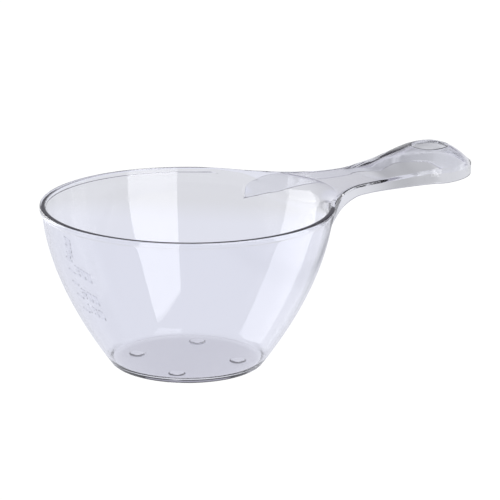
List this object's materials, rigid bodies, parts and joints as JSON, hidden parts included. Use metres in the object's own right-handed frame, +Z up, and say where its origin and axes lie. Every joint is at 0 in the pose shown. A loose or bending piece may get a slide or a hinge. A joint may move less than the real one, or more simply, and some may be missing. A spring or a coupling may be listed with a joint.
{
  "type": "hair color bowl",
  "caption": "Clear plastic mixing bowl for hair colour, with a flared round cup, a lipped rim, a volume scale and an arched handle with a hanging hole.",
  "frame": {"origin": "middle of the footprint box on the standing plane: z = 0 is the flat tips of the four foot pips, x = 0 is halfway between the far side of the lip and the tip of the handle, and y = 0 is the mirror plane; the bowl's own axis stands at x = -0.0430 m", "axes": "+Z up along the bowl's axis, +X along the handle away from the bowl, +Y to the left of the handle seen from the bowl"},
  "size_m": [0.208, 0.1218, 0.0771],
  "materials": {
    "clear": "clear glossy plastic with a faint blue-violet tint",
    "clear_base": "clear glossy plastic, greyer where it is seen through the floor",
    "clear_grey": "clear glossy plastic, neutral grey where the handle is seen through two walls"
  },
  "bodies": {
    "root": {"bowl_wall": "clear", "base_floor": "clear_base", "rim_lip": "clear", "handle_saddle": "clear", "handle_web": "clear", "handle_crown": "clear_grey", "skirt_left": "clear_grey", "skirt_right": "clear_grey", "handle_nose": "clear_grey", "foot_pip_1": "clear_base", "foot_pip_2": "clear_base", "foot_pip_3": "clear_base", "foot_pip_4": "clear_base", "volume_scale": "clear"}
  },
  "joints": []
}
